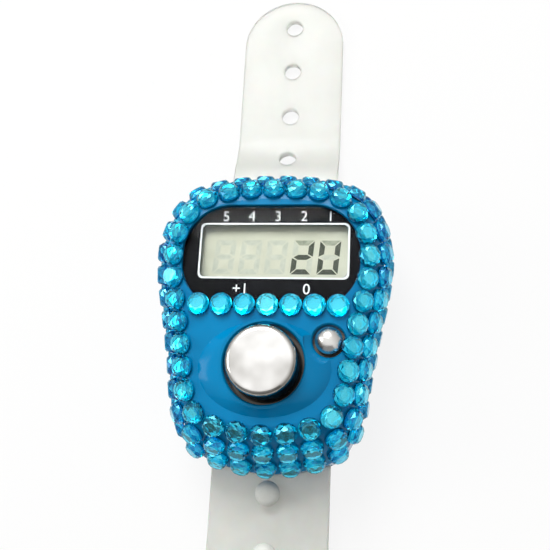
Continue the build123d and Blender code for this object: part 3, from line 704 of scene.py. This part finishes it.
# Strap
# Two bands moulded in milky silicone. A bead at the root of each is trapped in the case; the bands leave
# it, droop to the table and lie flat. One has four holes, and the other four studs that snap into them.
band_half_thickness, band_edge, band_height, band_reach = 0.6 * MM, 0.3 * MM, 3.4 * MM, 55.7 * MM
band_edge_steps, tip_steps, hole_steps, droop_steps = 5, 40, 32, 40
hole_radius, bead_radius, bead_round, bead_sides = 1.3 * MM, 1.3 * MM, 0.4 * MM, 24
hole_places = [place * MM for place in (50.8, 42.8, 34.8, 26.93)]
stud_places = [place * MM for place in (23.3, 31.29, 39.0, 46.9)]
stud_exit, stud_droop = 30.8 * MM, 16.0 * MM
cut_weld = 0.0001 * MM


def band_side(exit_y, droop):
    """Height and slope of a band's middle line at a distance from the case."""
    drop = band_height - band_half_thickness
    radius = (droop * droop + drop * drop) / (4 * drop)

    def at(y):
        part = min(max(y - exit_y, 0), droop)
        near = part if part < droop / 2 else droop - part
        sag = radius - math.sqrt(radius * radius - near * near)
        height = band_height - sag if part < droop / 2 else band_half_thickness + sag
        return height, -near / math.sqrt(radius * radius - near * near)
    return at


def bent(piece, side):
    """Lays a flat plate along the band's middle line."""
    for vert in piece.data.vertices:
        height, slope = side(vert.co.y)
        turn = math.atan(slope)
        lift = vert.co.z
        vert.co.y -= lift * math.sin(turn)
        vert.co.z = height + lift * math.cos(turn)


def band_loop(half_width, root):
    """Loop of a band: straight sides and a round tip."""
    def loop(inset):
        radius, centre = half_width - inset, band_reach - half_width
        turns = [math.pi * step / tip_steps for step in range(tip_steps + 1)]
        tip = [(radius * math.cos(turn), centre + radius * math.sin(turn)) for turn in turns]
        return [(-radius, root + inset), (radius, root + inset), *tip]
    return loop


def hole_loop(y):
    """Loop of a round hole on the band's middle line, which grows with the inset."""
    def loop(inset):
        radius = hole_radius + inset
        turns = [-math.tau * step / hole_steps for step in range(hole_steps)]
        return [(radius * math.cos(turn), y + radius * math.sin(turn)) for turn in turns]
    return loop


band_profile = []
for step in range(band_edge_steps + 1):
    turn = math.radians(-90 + 90 * step / band_edge_steps)
    band_profile.append((band_edge * (1 - math.cos(turn)),
                         -band_half_thickness + band_edge * (1 + math.sin(turn))))
band_profile += [(inset, -height) for inset, height in reversed(band_profile)]

# Milky silicone: light goes through and comes out blurred, and the skin has the matt grain of the mould,
# drawn coarser than life so that it shows. The band with the studs is a copy that lets less light through
# and looks greyer: painted shade for the shadow of the case on it. Its studs come from smooth pockets of
# the mould and are thick enough to look solid.
milky_silicone = surface("milky_moulded_silicone", "#f1f2ec", 0.40, 0.35, spread=0.06, dent=0.004,
                         Transmission_Weight=0.86, IOR=1.41, Subsurface_Weight=0.3,
                         Subsurface_Scale=1.5 * MM)
cloud(milky_silicone, "#edeee8", "#f5f6f1", 6.0)
# Painted shade: the stud band's copy lets less light through, so that it looks greyer.
shaded_band_silicone = surface("grey_moulded_silicone", "#f0f1ea", 0.38, 0.35, spread=0.06, dent=0.005,
                        Transmission_Weight=0.5, IOR=1.41, Subsurface_Weight=0.3,
                        Subsurface_Scale=1.5 * MM)
cloud(shaded_band_silicone, "#eaebe4", "#f4f5ef", 4.0)
stud_silicone = surface("polished_moulded_silicone", "#dcddd6", 0.30, 0.35, spread=0.05, IOR=1.41)
cloud(stud_silicone, "#d8d9d2", "#e0e1da", 1.5)

for end, half_width, root, exit_y, droop, holes, node, name, silicone in (
        (1, 8.0 * MM, 15.8 * MM, 20.5 * MM, 11.0 * MM, hole_places, "strap_hole_band",
         "strap_with_holes", milky_silicone),
        (-1, 8.25 * MM, 16.6 * MM, stud_exit, stud_droop, (), "strap_stud_band",
         "strap_with_studs", shaded_band_silicone)):
    loops = [band_loop(half_width, root), *[hole_loop(y) for y in holes]]
    band = plate(name, loops, band_profile, silicone)
    cuts = bmesh.new()
    cuts.from_mesh(band.data)
    for step in range(droop_steps + 1):
        bmesh.ops.bisect_plane(cuts, geom=[*cuts.verts, *cuts.edges, *cuts.faces], dist=cut_weld,
                               plane_co=(0, exit_y + droop * step / droop_steps, 0), plane_no=(0, 1, 0))
    cuts.to_mesh(band.data)
    cuts.free()
    bent(band, band_side(exit_y, droop))
    low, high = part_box(node)
    bead_y = abs(high.y if end < 0 else low.y) + bead_radius
    bead_half = (high.x - low.x) / 2
    bead_end = [(bead_radius, bead_half - bead_round), (bead_radius - bead_round, bead_half), (0, bead_half)]
    section = [*[(radius, -place) for radius, place in reversed(bead_end)], *bead_end]
    shape = bmesh.new()
    chain = [shape.verts.new((radius, 0, place)) for radius, place in section]
    edges = [shape.edges.new((one, two)) for one, two in zip(chain, chain[1:])]
    bmesh.ops.spin(shape, geom=chain + edges, axis=(0, 0, 1), cent=(0, 0, 0), steps=bead_sides,
                   angle=math.tau)
    bmesh.ops.remove_doubles(shape, verts=shape.verts, dist=weld)
    bmesh.ops.recalc_face_normals(shape, faces=shape.faces)
    shape.transform(Matrix.Translation((0, bead_y, band_height)) @ Matrix.Rotation(math.pi / 2, 4, "Y"))
    shape.from_mesh(band.data)
    if end < 0:
        shape.transform(Matrix.Rotation(math.pi, 4, "Z"))
    shape.to_mesh(band.data)
    shape.free()
    band.data.shade_smooth()
    band.data.set_sharp_from_angle(angle=smooth_below)
    on_case(band, "clear_silicone", node)

# A stud has a flared neck and a round head. The flare is given as millimetres out from the neck and up from
# the band, and the shoulder as millimetres out from the head's widest place and up from its underside.
neck, head, neck_height, head_height, stud_sides = 1.15 * MM, 1.7 * MM, 1.3 * MM, 0.9 * MM, 32
neck_flare = ((0.25, -0.05), (0.08, 0.1), (0.0, 0.35))
head_shoulder = ((-0.1, 0.0), (0.0, 0.12), (-0.05, 0.35), (-0.3, 0.65), (-0.65, 0.85))
head_low = band_half_thickness + neck_height
flare = [(neck + out * MM, band_half_thickness + rise * MM) for out, rise in neck_flare]
shoulder = [(head + out * MM, head_low + rise * MM) for out, rise in head_shoulder]
profile = [(0, 0), *flare, (neck, head_low), *shoulder, (0, head_low + head_height)]
stud = turned("stud_pattern", profile, 0, 0, stud_silicone, sides=stud_sides)
stud_side = band_side(stud_exit, stud_droop)
stud_seats = []
for y in stud_places:
    height, slope = stud_side(y)
    turn = math.atan(slope)
    stud_seats.append((Vector((0, -y, height)), Vector((0, math.sin(turn), math.cos(turn)))))
studs = seat_pieces("strap_studs", stud_seats, Piece=stud, Size_Spread=0.0, Lean=0.0, Seed=3,
                    Body_Material=stud_silicone, Back_Material=stud_silicone)
bpy.data.objects.remove(stud)
studs.data.shade_smooth()
on_case(studs, "clear_silicone")


# Works inside the case
# A green laminate board with its chip under a drop of resin, two capacitors, the display's carrier and
# rubber connector, and a button cell between a steel clip and a brass spring, held by small screws.
# Solder mask and resin are glossy, plastic, rubber and fired clay dull, and the plated metals softly bright.
works = {
    "lcd_support_frame": surface("white_moulded_plastic", "#e3e3df", 0.4, 0.8, dent=0.004),
    "zebra_strip": surface("layered_conductive_rubber", "#2a2a2c", 0.6, 0.2, dent=0.004),
    "circuit_board": surface("green_solder_mask", "#12602f", 0.3, 0.6, dent=0.003),
    "chip_blob": surface("black_potting_resin", "#131313", 0.22, 1.2, dent=0.006),
    "chip_capacitors": surface("fired_ceramic", "#9b7650", 0.5, 0.2, dent=0.003),
    "button_cell": surface("nickel_plated_steel", "#c6c4bd", 0.25, 0.4, spread=0.1, Metallic=1.0),
    "cell_clip": surface("stamped_nickel_steel", "#bdbbb4", 0.3, 0.3, spread=0.1, dent=0.002, Metallic=1.0),
    "cell_contact": surface("spring_brass", "#c9a557", 0.28, 0.3, spread=0.1, dent=0.002, Metallic=1.0),
    "board_screws": surface("zinc_plated_steel", "#b9bbbd", 0.32, 0.25, spread=0.1, dent=0.002,
                            Metallic=1.0),
}
works["case_screws"] = works["board_screws"]
cloud(works["circuit_board"], "#0f5829", "#167038", 2.5)
cloud(works["chip_capacitors"], "#8d6a46", "#a98259", 0.5)
cloud(works["cell_contact"], "#b99548", "#d4b267", 1.5)
for node, finish in works.items():
    nodes[node].data.materials[0] = finish
